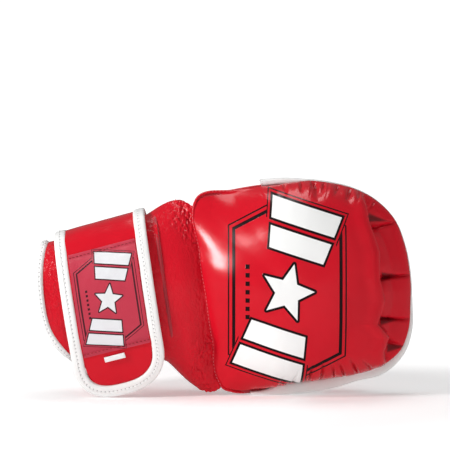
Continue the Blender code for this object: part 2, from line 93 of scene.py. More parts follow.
SEAM_Z = (131.5, 103.0, 73.0, 43.0, 9.0)
LINING_INSET = 5.2
FOAM_DEPTH = 30.0
LEATHER = 1.5


# ---- small maths ---------------------------------------------------------------------------------

def mix(a, b, t):
    return a + (b - a) * t


def smooth(t):
    t = np.clip(t, 0, 1)
    return t * t * (3 - 2 * t)


def fade(t, soft):
    """1 inside the range from 0 to 1, falling smoothly to 0 over the last soft of each end."""
    return smooth(t / soft) * smooth((1 - t) / soft)


def signed_power(v, e):
    return np.sign(v) * np.abs(v) ** e


def unit(v):
    return v / np.maximum(np.linalg.norm(v, axis=-1, keepdims=True), 1e-9)


def rounded(values, width):
    """The values, each averaged with its neighbours over an odd width."""
    weights = np.hanning(width)
    return np.convolve(np.pad(values, width // 2, mode="edge"), weights / weights.sum(), mode="valid")


def square_grid(across, down, start=0, end=1):
    """(u, v) of a grid that runs from start to end both ways."""
    return np.meshgrid(np.linspace(start, end, across), np.linspace(start, end, down))


def lattice(i, seed):
    """A repeatable pseudo-random number from -1 to 1 for each row of whole numbers."""
    h = (i[..., 0] * 374761393 + i[..., 1] * 668265263 + i[..., 2] * 1274126177 + seed * 974711) & 0xFFFFFFFF
    h = ((h ^ (h >> 13)) * 1103515245) & 0xFFFFFFFF
    h = ((h ^ (h >> 16)) * 2654435761) & 0xFFFFFFFF
    return (h >> 8 & 0xFFFF) / 32767.5 - 1


def lumps(points, size, seed):
    """Smooth noise from about -1 to 1, whose lumps are about size across; size may differ by axis."""
    p = np.asarray(points, float) / np.asarray(size, float)
    cell = np.floor(p).astype(np.int64)
    f = p - cell
    f = f * f * (3 - 2 * f)
    total = 0
    for corner in range(8):
        step = np.array((corner & 1, corner >> 1 & 1, corner >> 2))
        weight = np.prod(np.where(step, f, 1 - f), axis=-1)
        total = total + weight * lattice(cell + step, seed)
    return total * 1.4


def creases(points, size, width, seed):
    """1 along winding lines that come and go, falling off to 0 beside them."""
    size = np.asarray(size, float)
    shown = smooth(0.5 + 1.1 * lumps(points, size * 1.7, seed + 500))
    return shown * np.exp(-(lumps(points, size, seed) / width) ** 2)


def outline_table():
    """Fine tables of angle and radius round the pad's outline, from Catmull-Rom between its points."""
    d = np.array(PAD_OUTLINE, float) - PAD_CENTRE
    angle = np.arctan2(d[:, 1], d[:, 0]) % math.tau
    order = np.argsort(angle)
    angle, radius = angle[order], np.hypot(d[:, 0], d[:, 1])[order]
    n = len(angle)
    angles, radii = [], []
    for i in range(n):
        p0, p1, p2, p3 = (radius[(i + k) % n] for k in (-1, 0, 1, 2))
        span = (angle[(i + 1) % n] - angle[i]) % math.tau
        t = np.arange(24) / 24
        angles.append(angle[i] + span * t)
        radii.append(0.5 * (2 * p1 + (p2 - p0) * t + (2 * p0 - 5 * p1 + 4 * p2 - p3) * t ** 2
                            + (3 * p1 - p0 - 3 * p2 + p3) * t ** 3))
    return np.concatenate(angles), np.concatenate(radii)


OUTLINE = outline_table()


def outline_radius(angle):
    return np.interp(np.asarray(angle) % math.tau, *OUTLINE, period=math.tau)


def pad_place(angle, reach, y):
    """The place at a distance reach from the pad's centre, in the direction angle."""
    return np.stack([PAD_CENTRE[0] + reach * np.cos(angle), y, PAD_CENTRE[1] + reach * np.sin(angle)], -1)


def degrees_from_front(angle):
    """An angle of the pad's outline in degrees, from -180 to 180: 0 is the fingertips, 90 the thumb side."""
    return np.degrees((angle + math.pi) % math.tau - math.pi)


def edge_y(angle):
    """Y of the pad's rim, which curls to the palm at the fingertips and to the back at the wrist."""
    c = np.cos(angle)
    return 4 + 11 * np.maximum(0, c) ** 1.5 - 22 * np.maximum(0, -c) ** 3


def lining_y(angle, share):
    return mix(-8.0, edge_y(angle), share ** 2.2)


def pad_polar(x, z):
    """(angle, share of the way to the lining's edge) of places on the pad."""
    dx, dz = x - PAD_CENTRE[0], z - PAD_CENTRE[1]
    angle = np.arctan2(dz, dx)
    return angle, np.hypot(dx, dz) / (outline_radius(angle) - LINING_INSET)


def lining_y_at(x, z):
    angle, share = pad_polar(x, z)
    return lining_y(angle, np.minimum(1, share))


def section(angle, half_depth, half_height):
    """(Y, height) on the wrist's cross-section: 0 is the back, 90 the thumb side, 180 the palm."""
    a, e = np.radians(angle), 2 / SECTION_POWER
    return -half_depth * signed_power(np.cos(a), e), half_height * signed_power(np.sin(a), e)


def cuff_place(along, y, height):
    c, s = math.cos(CUFF_TILT), math.sin(CUFF_TILT)
    along, y, height = np.broadcast_arrays(along, y, height)
    return CUFF_TOP + np.stack([-c * along - s * height, y, c * height - s * along], -1)


def cuff_surface(along, angle, offset):
    share = np.asarray(along) / CUFF_LENGTH
    y, height = section(angle, mix(*CUFF_HALF_DEPTH, share) + offset, mix(*CUFF_HALF_HEIGHT, share) + offset)
    return cuff_place(along, y, height)


def cuff_end(angle):
    """How far along the cuff its slanted open edge lies."""
    rise = section(angle, 1.0, 1.0)[1]
    return CUFF_LENGTH - np.where(rise > 0, *CUFF_TRIM) * abs(rise) ** 2.5


def world(x, y, z):
    """A design place as a point of the frame, in metres."""
    return tuple((np.array((x, y, z), float) - ORIGIN) * MM)


# ---- mesh building -------------------------------------------------------------------------------

def grid_faces(rows, cols, wrap=False):
    """The quads of a grid of points; wrap joins its last column to its first."""
    r, c = np.meshgrid(np.arange(rows - 1), np.arange(cols if wrap else cols - 1), indexing="ij")
    here, below, right = r * cols, (r + 1) * cols, (c + 1) % cols
    return np.stack([here + c, here + right, below + right, below + c], -1).reshape(-1, 4)


def normals(grid, facing):
    """Unit normals of a grid of points, all on the side where the middle one's Y has facing's sign."""
    n = unit(np.cross(np.gradient(grid, axis=1), np.gradient(grid, axis=0)))
    return n if n[grid.shape[0] // 2, grid.shape[1] // 2, 1] * facing > 0 else -n


def add_object(name, points, faces, look, uv=None, mask=None):
    """The named mesh object. uv holds a place in mm for each vertex, and mask each face's material."""
    mesh = bpy.data.meshes.new(name)
    mesh.from_pydata(((np.asarray(points, float) - ORIGIN) * MM).tolist(), [], [list(f) for f in faces])
    if uv is not None:
        layer = mesh.uv_layers.new(name="place")
        index = np.zeros(len(mesh.loops), np.int32)
        mesh.loops.foreach_get("vertex_index", index)
        layer.data.foreach_set("uv", (np.asarray(uv, float)[index] / 100).astype(np.float32).ravel())
    for each in look if isinstance(look, list) else [look]:
        mesh.materials.append(each)
    if mask is not None:
        mesh.polygons.foreach_set("material_index", np.asarray(mask, np.int32))
    made = bmesh.new()
    made.from_mesh(mesh)
    bmesh.ops.recalc_face_normals(made, faces=made.faces)
    made.to_mesh(mesh)
    made.free()
    mesh.shade_smooth()
    mesh.set_sharp_from_angle(angle=math.radians(50))
    obj = bpy.data.objects.new(name, mesh)
    bpy.context.scene.collection.objects.link(obj)
    return obj


def border(rows, cols):
    """Indices round the border of a grid."""
    top = np.arange(cols)
    right = np.arange(1, rows) * cols + cols - 1
    bottom = (rows - 1) * cols + np.arange(cols - 2, -1, -1)
    left = np.arange(rows - 2, 0, -1) * cols
    return np.concatenate([top, right, bottom, left])


def sheet(name, outer, look, inner, uv=None, inside=None, round_edge=0.0, edge=None):
    """A closed sheet of leather: the outer grid, the inner grid behind it, and the rim that joins them."""
    rows, cols = outer.shape[:2]
    count = rows * cols
    faces = grid_faces(rows, cols)
    around = border(rows, cols)
    nxt = np.roll(around, -1)
    points = [outer.reshape(-1, 3), inner.reshape(-1, 3)]
    uvs = None if uv is None else [uv.reshape(-1, 2)] * 2
    if round_edge:
        middle = (outer.reshape(-1, 3)[around] + inner.reshape(-1, 3)[around]) / 2
        ring = np.roll(middle, -1, 0) - np.roll(middle, 1, 0)
        up = outer.reshape(-1, 3)[around] - inner.reshape(-1, 3)[around]
        out = unit(np.cross(ring, up))
        centre = outer.reshape(-1, 3).mean(0)
        flip = np.sign(((middle - centre) * out).sum(1)).sum()
        points.append(middle + out * (round_edge if flip > 0 else -round_edge))
        if uvs:
            uvs.append(uv.reshape(-1, 2)[around])
        own = 2 * count + np.arange(len(around))
        own_next = np.roll(own, -1)
        walls = [np.stack([around, nxt, own_next, own], 1),
                 np.stack([own, own_next, nxt + count, around + count], 1)]
    else:
        walls = [np.stack([around, nxt, nxt + count, around + count], 1)]
    all_faces = np.concatenate([faces, faces[:, ::-1] + count, *walls])
    mask = np.zeros(len(all_faces), int)
    looks = [look]
    if inside is not None:
        mask[len(faces):2 * len(faces)] = len(looks)
        looks.append(inside)
    if edge is not None:
        mask[2 * len(faces):] = len(looks)
        looks.append(edge)
    return add_object(name, np.concatenate(points), all_faces, looks,
                      None if uvs is None else np.concatenate(uvs), mask)


def tangents(path):
    return unit(np.gradient(path, axis=0))


def lengths(path):
    return np.concatenate([[0], np.cumsum(np.linalg.norm(np.diff(path, axis=0), axis=1))])


def resample(path, spacing, *others):
    """The path, and lists that go with it, at an even spacing."""
    s = lengths(path)
    n = max(2, int(round(s[-1] / spacing)) + 1)
    at = np.linspace(0, s[-1], n)
    made = [np.stack([np.interp(at, s, a[:, k]) for k in range(a.shape[1])], 1) for a in (path, *others)]
    return made if others else made[0]


def tape(name, path, normal, half_width, half_thick, look, sides, blunt=0.55):
    """A sewn tape along a path: flat-sided and round-edged. half_thick may differ along the path."""
    along = tangents(path)
    out = unit(np.cross(along, normal))
    up = np.cross(out, along)
    a = np.arange(sides) * math.tau / sides
    rows = len(path)
    w = signed_power(np.cos(a), blunt) * half_width
    t = signed_power(np.sin(a), 0.8) * np.broadcast_to(half_thick, rows)[:, None]
    rings = path[:, None] + out[:, None] * w[None, :, None] + up[:, None] * t[..., None]
    faces = [list(f) for f in grid_faces(rows, sides, True)]
    faces += [list(range(sides)), list(range((rows - 1) * sides, rows * sides))]
    uv = np.stack([np.repeat(lengths(path), sides), np.tile(w, rows)], 1)
    return add_object(name, rings.reshape(-1, 3), faces, look, uv)


def threads(name, path, up, spacing, look, length, radius):
    """A row of separate sewn stitches lying along a path."""
    path, up = resample(path, spacing, up)
    along = tangents(path)
    side = unit(np.cross(along, up))
    up = np.cross(side, along)
    rings = ((-0.5, 0.35, -0.5), (-0.36, 0.9, 0.1), (0, 1.0, 0.35), (0.36, 0.9, 0.1), (0.5, 0.35, -0.5))
    a = np.arange(6) * math.tau / 6
    points, faces = [], []
    for k in range(len(path)):
        base = k * 30
        for shift, size, lift in rings:
            points.append(path[k] + along[k] * shift * length + up[k] * lift * radius
                          + (side[k] * np.cos(a)[:, None] + up[k] * np.sin(a)[:, None]) * radius * size)
        faces += [[base + i for i in f] for f in grid_faces(5, 6, True)]
        faces += [[base + i for i in range(6)], [base + 24 + i for i in range(6)]]
    return add_object(name, np.concatenate(points), faces, look)


# ---- materials -----------------------------------------------------------------------------------

class Val:
    """A number inside a material, built from shader nodes with ordinary arithmetic."""

    def __init__(self, tree, socket):
        self.tree, self.socket = tree, socket

    def op(self, kind, *others, clamp=False):
        node = self.tree.nodes.new("ShaderNodeMath")
        node.operation = kind
        node.use_clamp = clamp
        for slot, value in zip(node.inputs, (self, *others)):
            if isinstance(value, Val):
                self.tree.links.new(value.socket, slot)
            else:
                slot.default_value = value
        return Val(self.tree, node.outputs[0])

    def __add__(self, other):
        return self.op("ADD", other)

    def __sub__(self, other):
        return self.op("SUBTRACT", other)

    def __mul__(self, other):
        return self.op("MULTIPLY", other)

    def __truediv__(self, other):
        return self.op("DIVIDE", other)

    def __neg__(self):
        return self * -1.0

    def __abs__(self):
        return self.op("ABSOLUTE")

    def least(self, other):
        return self.op("MINIMUM", other)

    def most(self, other):
        return self.op("MAXIMUM", other)

    def clamp(self):
        return self.op("ADD", 0.0, clamp=True)

    def clamp_to(self, most):
        return self.most(0.0).least(most)

    def inside(self, soft):
        """1 where this distance is below 0, with an edge soft wide."""
        return (self * (-1 / soft) + 0.5).clamp()


class Look:
    """A Principled material: colour layers, roughness and relief in mm are added, then it is joined up."""

    def __init__(self, name, colour, roughness, spread, **settings):
        self.material = bpy.data.materials.new(name)
        self.material.use_nodes = True
        self.tree = self.material.node_tree
        self.shader = self.tree.nodes["Principled BSDF"]
        self.object_place = self.tree.nodes.new("ShaderNodeTexCoord").outputs["Object"]
        self.relief = None
        for key, value in settings.items():
            self.shader.inputs[key].default_value = value
        self.colour = self.rgb(colour)
        self.roughness = self.noise(180, 3) * spread + (roughness - spread / 2)

    def rgb(self, colour):
        node = self.tree.nodes.new("ShaderNodeRGB")
        node.outputs[0].default_value = (*colour, 1)
        return node.outputs[0]

    def uv(self):
        """The two surface places in mm."""
        node = self.tree.nodes.new("ShaderNodeUVMap")
        node.uv_map = "place"
        parts = self.tree.nodes.new("ShaderNodeSeparateXYZ")
        self.tree.links.new(node.outputs[0], parts.inputs[0])
        return Val(self.tree, parts.outputs[0]) * 100, Val(self.tree, parts.outputs[1]) * 100

    def place(self, stretch):
        if stretch is None:
            return self.object_place
        node = self.tree.nodes.new("ShaderNodeMapping")
        node.inputs["Scale"].default_value = stretch
        self.tree.links.new(self.object_place, node.inputs[0])
        return node.outputs[0]

    def noise(self, scale, detail, stretch=None, twist=0.0):
        node = self.tree.nodes.new("ShaderNodeTexNoise")
        self.tree.links.new(self.place(stretch), node.inputs["Vector"])
        node.inputs["Scale"].default_value = scale
        node.inputs["Detail"].default_value = detail
        node.inputs["Distortion"].default_value = twist
        return Val(self.tree, node.outputs[0])

    def cells(self, scale):
        """Distance to the edge of the nearest cell."""
        node = self.tree.nodes.new("ShaderNodeTexVoronoi")
        node.feature = "DISTANCE_TO_EDGE"
        self.tree.links.new(self.object_place, node.inputs["Vector"])
        node.inputs["Scale"].default_value = scale
        return Val(self.tree, node.outputs["Distance"])

    def raise_by(self, height):
        """Adds relief in mm."""
        self.relief = height if self.relief is None else self.relief + height

    def paint(self, mask, colour, roughness=None):
        node = self.tree.nodes.new("ShaderNodeMix")
        node.data_type = "RGBA"
        self.tree.links.new(mask.socket, node.inputs["Factor"])
        self.tree.links.new(self.colour, node.inputs[6])
        node.inputs[7].default_value = (*colour, 1)
        self.colour = node.outputs[2]
        if roughness is not None:
            self.roughness = self.roughness * (-mask + 1.0) + mask * roughness

    def done(self):
        self.tree.links.new(self.colour, self.shader.inputs["Base Color"])
        self.tree.links.new(self.roughness.socket, self.shader.inputs["Roughness"])
        if self.relief is not None:
            node = self.tree.nodes.new("ShaderNodeBump")
            node.inputs["Distance"].default_value = MM
            self.tree.links.new(self.relief.socket, node.inputs["Height"])
            self.tree.links.new(node.outputs[0], self.shader.inputs["Normal"])
        return self.material


RED = (0.60, 0.0045, 0.016)
DEEP_RED = (0.36, 0.004, 0.010)
WHITE = (0.86, 0.86, 0.85)
INK = (0.012, 0.0015, 0.003)
CHANNELS = (                       # height, start in X and slope of the seams between the finger ends
    (112.5, 90.5, -0.20), (75.6, 98.5, 0.0), (47.4, 98.0, 0.0), (29.5, 103.0, 0.05),
)


def star_distance(a, b, radius, inset):
    """Distance to the edge of a five-pointed star: IQ's folding formula, in nodes."""
    kx, ky = math.cos(math.radians(36)), -math.sin(math.radians(36))
    a = abs(a)
    fold = (a * kx + b * ky).most(0.0) * 2.0
    a, b = a - fold * kx, b - fold * ky
    fold = (b * ky - a * kx).most(0.0) * 2.0
    a, b = a + fold * kx, b - fold * ky
    a = abs(a)
    b = b - radius
    ex, ey = -inset * ky, inset * kx - 1
    along = ((a * ex + b * ey) / (ex * ex + ey * ey)).clamp_to(radius)
    da, db = a - along * ex, b - along * ey
    return (da * da + db * db).op("SQRT") * (b * ex - a * ey).op("SIGN")


def print_art(look, u, v, centre, scale, white, ink):
    """Slanted bars and a star with inked edges, in a tall six-sided pinstripe frame."""
    a, b = (u - centre[0]) / scale, (v - centre[1]) / scale
    slide = a - b * 0.24
    tilt = b + slide * 0.30
    bars = abs(abs(abs(tilt) - 37.5) - 8.6) - 6.4
    ends = abs(slide) - abs(tilt) * 0.17 - 14.0
    star = star_distance(slide, tilt, 17.5, 0.45)
    figure = bars.most(ends).least(star)
    hexagon = (abs(a) - 33).most(abs(a) * 0.469 + abs(b) * 0.883 - 49.5)
    frame_lines = (abs(hexagon) - 1.0).least(abs(hexagon - 3.2) - 0.45)
    frame_lines = frame_lines.most(-figure + 3.4)
    ticks = (abs(a + 24.5) - 1.3).most(abs((b / 5.2 - (b / 5.2).op("ROUND")) * 5.2) - 1.4)
    ticks = ticks.most(abs(b) - 17.0)
    contour = abs(figure - 3.1) - 0.35
    contour = contour.most(-hexagon - 3.0)
    soft = 0.14 / scale
    black = (figure - 1.5).least(frame_lines).least(ticks).least(contour).inside(soft)
    pale = figure.inside(soft)
    look.paint(black, ink, 0.24)
    look.paint(pale, white, 0.28)
    look.raise_by(black.most(pale) * 0.05)


def leather(name, colour, roughness, grain, wrinkle, coat, art=None):
    """Glossy finished leather: pebbled grain, faint mottling, and soft crumples where it is worked; with art,
    painted shade in the finger-channel pits, and the print.
    """
    look = Look(name, colour, roughness, 0.07, **{"Coat Weight": coat, "Coat Roughness": 0.08,
                                                    "Specular IOR Level": 0.33})
    mottle = look.noise(70, 4)
    look.paint(((mottle - 0.5) * 2.4).clamp() * 0.30, tuple(c * 0.72 for c in colour))
    look.paint(((-mottle + 0.46) * 3.0).clamp() * 0.22, tuple(min(1, c * 1.10 + 0.004) for c in colour))
    pebble = (look.cells(1100) * 3.0).clamp()
    look.raise_by(pebble * grain)
    look.raise_by(look.noise(420, 3) * 0.02)
    if wrinkle:
        line = abs(look.noise(300, 4, (1.0, 1.0, 0.5), 0.8) - 0.5)
        ridge = (-line * 8.0 + 1.0).clamp()
        look.raise_by(ridge * (wrinkle * 0.5))
        look.raise_by((look.cells(430) * 2.6).clamp() * (wrinkle * 0.3))
        look.raise_by(look.noise(520, 5, (1.2, 1.0, 0.7), 0.8) * wrinkle)
        look.roughness = look.roughness + ridge * 0.06
    if art:
        u, v = look.uv()
        # Painted shade: a dark wedge is painted into each finger-channel pit, where the crease falls into
        # shade.
        for height, start, slope in CHANNELS:
            past = u - start
            shade_wedge = (abs(v - height - past * slope) + (past / 13.0).clamp() * 2.8 - 3.3).most(-past * 1.5)
            look.paint((-shade_wedge * 0.7 + 0.1).clamp() * 0.86, (0.10, 0.0012, 0.003), 0.3)
        print_art(look, u, v, *art)
    return look.done()


def white_tape_look():
    """Smooth coated tape with a row of needle holes down its middle and a faint weave."""
    look = Look("white_tape", WHITE, 0.40, 0.06, **{"Coat Weight": 0.12, "Coat Roughness": 0.3})
    u, v = look.uv()
    look.paint((look.noise(120, 4) * 0.5), (0.80, 0.79, 0.78))
    run = (u / 2.6 - (u / 2.6).op("ROUND")) * 2.6
    off = v - 0.4
    hole = ((run - 1.3) * (run - 1.3)).least((run + 1.3) * (run + 1.3))
    dot = ((hole + off * off).op("SQRT") - 0.34).inside(0.25)
    look.paint(dot * 0.75, (0.22, 0.20, 0.21))
    look.raise_by(-dot * 0.18)
    groove = (-abs(off) * 1.2 + 1.0).clamp()
    look.raise_by(-groove * 0.12)
    look.raise_by(look.noise(900, 2) * 0.03)
    return look.done()


def suede_look():
    look = Look("grey_suede", (0.56, 0.54, 0.55), 0.85, 0.1, **{"Sheen Weight": 0.35, "Sheen Roughness": 0.5})
    look.paint((look.noise(260, 5) - 0.42).clamp() * 1.6, (0.40, 0.36, 0.37))
    look.paint(((look.noise(60, 3) - 0.52) * 4.0).clamp() * 0.4, (0.70, 0.68, 0.68))
    look.raise_by(look.noise(1500, 3) * 0.12)
    look.raise_by(look.noise(300, 4) * 0.15)
    return look.done()


def lining_look():
    look = Look("red_lining", (0.42, 0.010, 0.022), 0.5, 0.12, **{"Sheen Weight": 0.2})
    look.paint(((look.noise(45, 4) - 0.45) * 3.0).clamp() * 0.5, (0.28, 0.006, 0.014))
    look.raise_by((look.cells(700) * 2.5).clamp() * 0.10)
    look.raise_by(look.noise(160, 5, (1.0, 1.0, 0.5), 0.6) * 0.35)
    return look.done()


def label_look():
    """Woven satin: fine ribs two ways, a pinker red than the leather, with the woven art."""
    look = Look("woven_satin", (0.50, 0.020, 0.050), 0.42, 0.05,
                **{"Sheen Weight": 0.5, "Sheen Roughness": 0.35, "Sheen Tint": (1.0, 0.62, 0.70, 1)})
    u, v = look.uv()
    rib = (u * 9.5).op("SINE") * (v * 6.0 + u * 3.0).op("SINE")
    look.paint((rib * 0.5 + 0.5).clamp() * 0.30, (0.62, 0.045, 0.085))
    look.raise_by(rib * 0.035)
    look.raise_by(look.noise(70, 3) * 0.25)
    print_art(look, u, v, (29.0, 56.5), 0.53, (0.74, 0.74, 0.76), (0.055, 0.012, 0.018))
    return look.done()


def plain_weave(name, colour, roughness, scale, height):
    look = Look(name, colour, roughness, 0.08)
    look.paint(((look.noise(scale * 0.2, 3) - 0.5) * 3.0).clamp() * 0.35, tuple(c * 0.6 for c in colour))
    look.raise_by(look.noise(scale, 3) * height)
    look.raise_by((look.cells(scale * 0.8) * 2.0).clamp() * height)
    return look.done()


PAD_RED = leather("pad_red_leather", RED, 0.21, 0.014, 0.0, 0.05, art=((39.0, 68.0), 1.0, WHITE, INK))
GLOSS_RED = leather("gloss_red_leather", RED, 0.21, 0.014, 0.0, 0.05)
SOFT_RED = leather("crumpled_red_leather", RED, 0.19, 0.02, 0.17, 0.05)
DARK_RED = leather("dark_red_leather", DEEP_RED, 0.38, 0.05, 0.2, 0.15)
WHITE_TAPE = white_tape_look()
SUEDE = suede_look()
LINING = lining_look()
SATIN = label_look()
WHITE_EDGE = plain_weave("raw_white_edge", (0.80, 0.79, 0.78), 0.7, 1200, 0.05)
WHITE_THREAD = plain_weave("white_thread", (0.78, 0.77, 0.76), 0.6, 2500, 0.05)
RED_THREAD = plain_weave("red_thread", (0.30, 0.006, 0.014), 0.6, 2500, 0.05)
PALE_THREAD = plain_weave("pale_red_thread", (0.70, 0.10, 0.12), 0.5, 2500, 0.05)
FOAM = plain_weave("grey_foam", (0.30, 0.31, 0.33), 0.9, 1500, 0.1)
TOUCH_TAPE = plain_weave("black_touch_tape", (0.012, 0.012, 0.014), 0.95, 1900, 0.5)


# ---- hand pad ------------------------------------------------------------------------------------

PUCKERS = (                        # angle in degrees, width, depth and reach in mm, slant
    (-83, 1.4, 2.6, 19, 0.35), (-75, 1.7, 3.0, 22, 0.4), (-67, 1.3, 2.6, 18, 0.25), (-61, 1.2, 2.4, 20, 0.15),
    (-54, 1.5, 3.0, 21, 0.20), (-47, 1.2, 1.9, 14, 0.10), (-93, 1.5, 1.8, 14, 0.3), (-101, 1.4, 1.3, 11, 0.2),
    (81, 3.4, 3.6, 13, -0.30), (76, 1.7, 2.0, 9, 0.10), (63, 2.2, 2.2, 11, -0.30), (58, 1.5, 1.5, 10, -0.20),
    (88, 1.6, 1.6, 9, 0.0), (69, 1.3, 1.4, 8, 0.05), (97, 1.5, 1.3, 8, 0.0), (49, 1.4, 1.3, 9, 0.0),
)


def square_disc(n):
    """(angle, share) of an n x n grid wrapped onto a disc, with its rows closing up near the rim."""
    s = np.linspace(-1, 1, n)
    u, v = np.meshgrid(s, s)
    share = np.maximum(abs(u), abs(v))
    tall = abs(v) > abs(u)
    with np.errstate(divide="ignore", invalid="ignore"):
        angle = np.where(tall, np.sign(v) * math.pi / 2 - math.pi / 4 * np.nan_to_num(u / v),
                         math.pi / 4 * np.nan_to_num(v / u) + np.where(u < 0, math.pi, 0))
    return angle, 1 - (1 - share) ** 1.25


def dome(angle, share):
    """Height of the padding: steep at the fingertips and long edges, a gentle rise from the wrist seam."""
    around = sum(outline_radius(angle + turn) for turn in np.radians(np.linspace(-36, 36, 9))) / 9
    share = np.minimum(0.55 + 0.45 * share, mix(share * outline_radius(angle) / around, share, share ** 4))
    wrist = smooth(-np.cos(angle) / 0.8)
    tips = smooth((np.cos(angle) - 0.45) / 0.4)
    power = 4.6 - 2.5 * wrist - 0.6 * tips
    return FOAM_DEPTH * np.maximum(0, 1 - share ** power) ** (0.58 + 0.40 * wrist + 0.12 * tips)


BULGE = ((-180, -132, -118, -100, -60, -45, -30, 0, 40, 60, 84, 92, 100, 113, 128, 142, 180),
         (-2.4, -2.8, -4.2, -5.8, -6.6, -5.2, -2.0, 0.6, 1.4, 1.4, 1.0, -0.6, -2.4, -2.6, -2.4, -2.4, -2.4))
TUCK_FROM = 0.90                   # share of the way to the rim at which the leather turns under
TUCK = 3.6


def pad_skin(angle, share):
    """The cover leather: the dome bulges past its own seam and tucks back under to it."""
    degrees = degrees_from_front(angle)
    bulge = np.interp(degrees, *BULGE)
    taped = np.interp(abs(degrees), (108, 128), (1, 0))
    up = np.minimum(1, share / TUCK_FROM)
    turn = np.maximum(0, share - TUCK_FROM) / (1 - TUCK_FROM) * math.radians(78)
    reach = (outline_radius(angle) + bulge) * up
    y = lining_y(angle, up) - dome(angle, up) - TUCK * taped * up ** 8
    reach = reach - TUCK * (1 - np.cos(turn)) * mix(0.4, 1, taped)
    y = y + TUCK * np.sin(turn) * mix(0.3, 0.6, taped)
    return pad_place(angle, reach, y)


def break_x(z):
    """X of the crease where the padding breaks before the fingertips: a scallop over each finger."""
    return np.interp(z, (16, 29.5, 38, 47.4, 61, 75.6, 92, 112.5, 119, 127),
                     (104, 102.5, 105, 97.5, 101.5, 98.5, 98.0, 91.5, 91.0, 88))


def pad_relief(p, angle, share):
    """How far the leather is drawn in, in mm: the break, the stitched channels, puckers and gathers."""
    x, z = p[..., 0], p[..., 2]
    radius = outline_radius(angle)
    share = np.minimum(1, share / TUCK_FROM)
    rim = (1 - share) * radius
    degrees = degrees_from_front(angle)
    past = x - break_x(z)
    ends = smooth((z - 14) / 8) * smooth((130 - z) / 8)
    keep = smooth(rim / 7)
    depth = 2.6 * np.exp(-abs((past - 0.8) / 1.5) ** 1.7) * ends + 6.6 * smooth(past / 4.5) * ends * keep
    depth = depth - 2.0 * np.exp(-((past + 5) / 4.6) ** 2) * ends
    for centre, _, slope in CHANNELS:
        off = z - centre - slope * past
        start = smooth((past + 2.5) / 3.5)
        wide = mix(4.6, 1.0, smooth(past / 13) ** 0.7)
        deep = mix(9.0, 3.0, smooth(past / 12)) * smooth(rim / 3 + 0.3)
        depth = depth + deep * np.exp(-abs(off / wide) ** 1.4) * start
        depth = depth + 1.4 * np.exp(-(off / 6) ** 2) * start * keep
    for at, width, deep, reach, slant in PUCKERS:
        turn = (angle - math.radians(at) + math.pi) % math.tau - math.pi
        off = turn * radius - slant * rim
        wide = width * (0.5 + 0.8 * rim / reach)
        depth = depth + deep * np.exp(-abs(off / wide) ** 1.5) * smooth(1 - rim / reach) ** 0.7
    gathered = np.interp(degrees, (-122, -108, -56, -40, 48, 60, 100, 114), (0, 1, 1, 0, 0, 1, 1, 0))
    gather = smooth(1 - rim / 12) * gathered
    flat = np.stack([angle * radius, rim * 0.35, 0 * rim], -1)
    depth = depth + gather * (0.7 * creases(flat, 8.0, 0.13, 3) + 0.3 * lumps(flat, 4.5, 4))
    whole = np.stack([x, 0 * x, z], -1)
    depth = depth + 0.8 * lumps(whole, 40, 7) + 0.18 * lumps(whole, 14, 8)
    return depth * smooth(rim / 1.2)


def build_pad():
    angle, share = square_disc(300)
    base = pad_skin(angle, share)
    n = normals(base, BACK)
    outer = base - n * pad_relief(base, angle, share)[..., None]
    outer[..., 2] = np.maximum(outer[..., 2], 0.3)
    inner = outer - n * LEATHER
    inner[..., 2] = np.maximum(inner[..., 2], 1.2)
    pad = sheet("pad_leather", outer, PAD_RED, inner, outer[..., (0, 2)], LINING)
    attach(pad, "hand")
    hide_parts("dorsal_shell")

    angle, share = square_disc(120)
    share = share * 0.84
    skin = pad_skin(angle, share)
    n = normals(skin, BACK)
    top = skin - n * (pad_relief(skin, angle, share) + 2.4)[..., None]
    under = top.copy()
    under[..., 1] = lining_y_at(top[..., 0], top[..., 2]) - 1.0
    top[..., 1] = np.minimum(top[..., 1], under[..., 1] - 0.4)
    foam = sheet("pad_foam", top, FOAM, under)
    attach(foam, "hand")
    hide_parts("knuckle_foam")

    angle, share = square_disc(140)
    taped = np.interp(degrees_from_front(angle), (-121, -116, 102, 108), (0, 1, 1, 0))
    reach = (outline_radius(angle) - mix(4.6, 1.8, taped)) * share
    full = np.minimum(1, reach / (outline_radius(angle) - LINING_INSET))
    face = pad_place(angle, reach, lining_y(angle, full))
    folds = creases(face, (30, 30, 18), 0.07, 12) * (1 - share)
    face[..., 1] += 0.6 + 0.35 * lumps(face, 18, 11) - 0.5 * folds
    lining = sheet("palm_lining", face, LINING, face - np.array((0, 1.2, 0)))
    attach(lining, "hand")
    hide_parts("dorsal_lining")


def rim_path(start, end, steps, outset):
    """A path round the pad's rim between two angles in degrees, and the way out of the pad beside it."""
    a = np.radians(np.linspace(start, end, steps))
    reach = outline_radius(a) + outset
    path = pad_place(a, reach, edge_y(a))
    return path, np.stack([np.cos(a), 0 * a, np.sin(a)], -1)


def keep_above(piece, lowest):
    """Flattens the piece where it rests on the floor."""
    for vertex in piece.data.vertices:
        vertex.co.z = max(vertex.co.z, lowest)


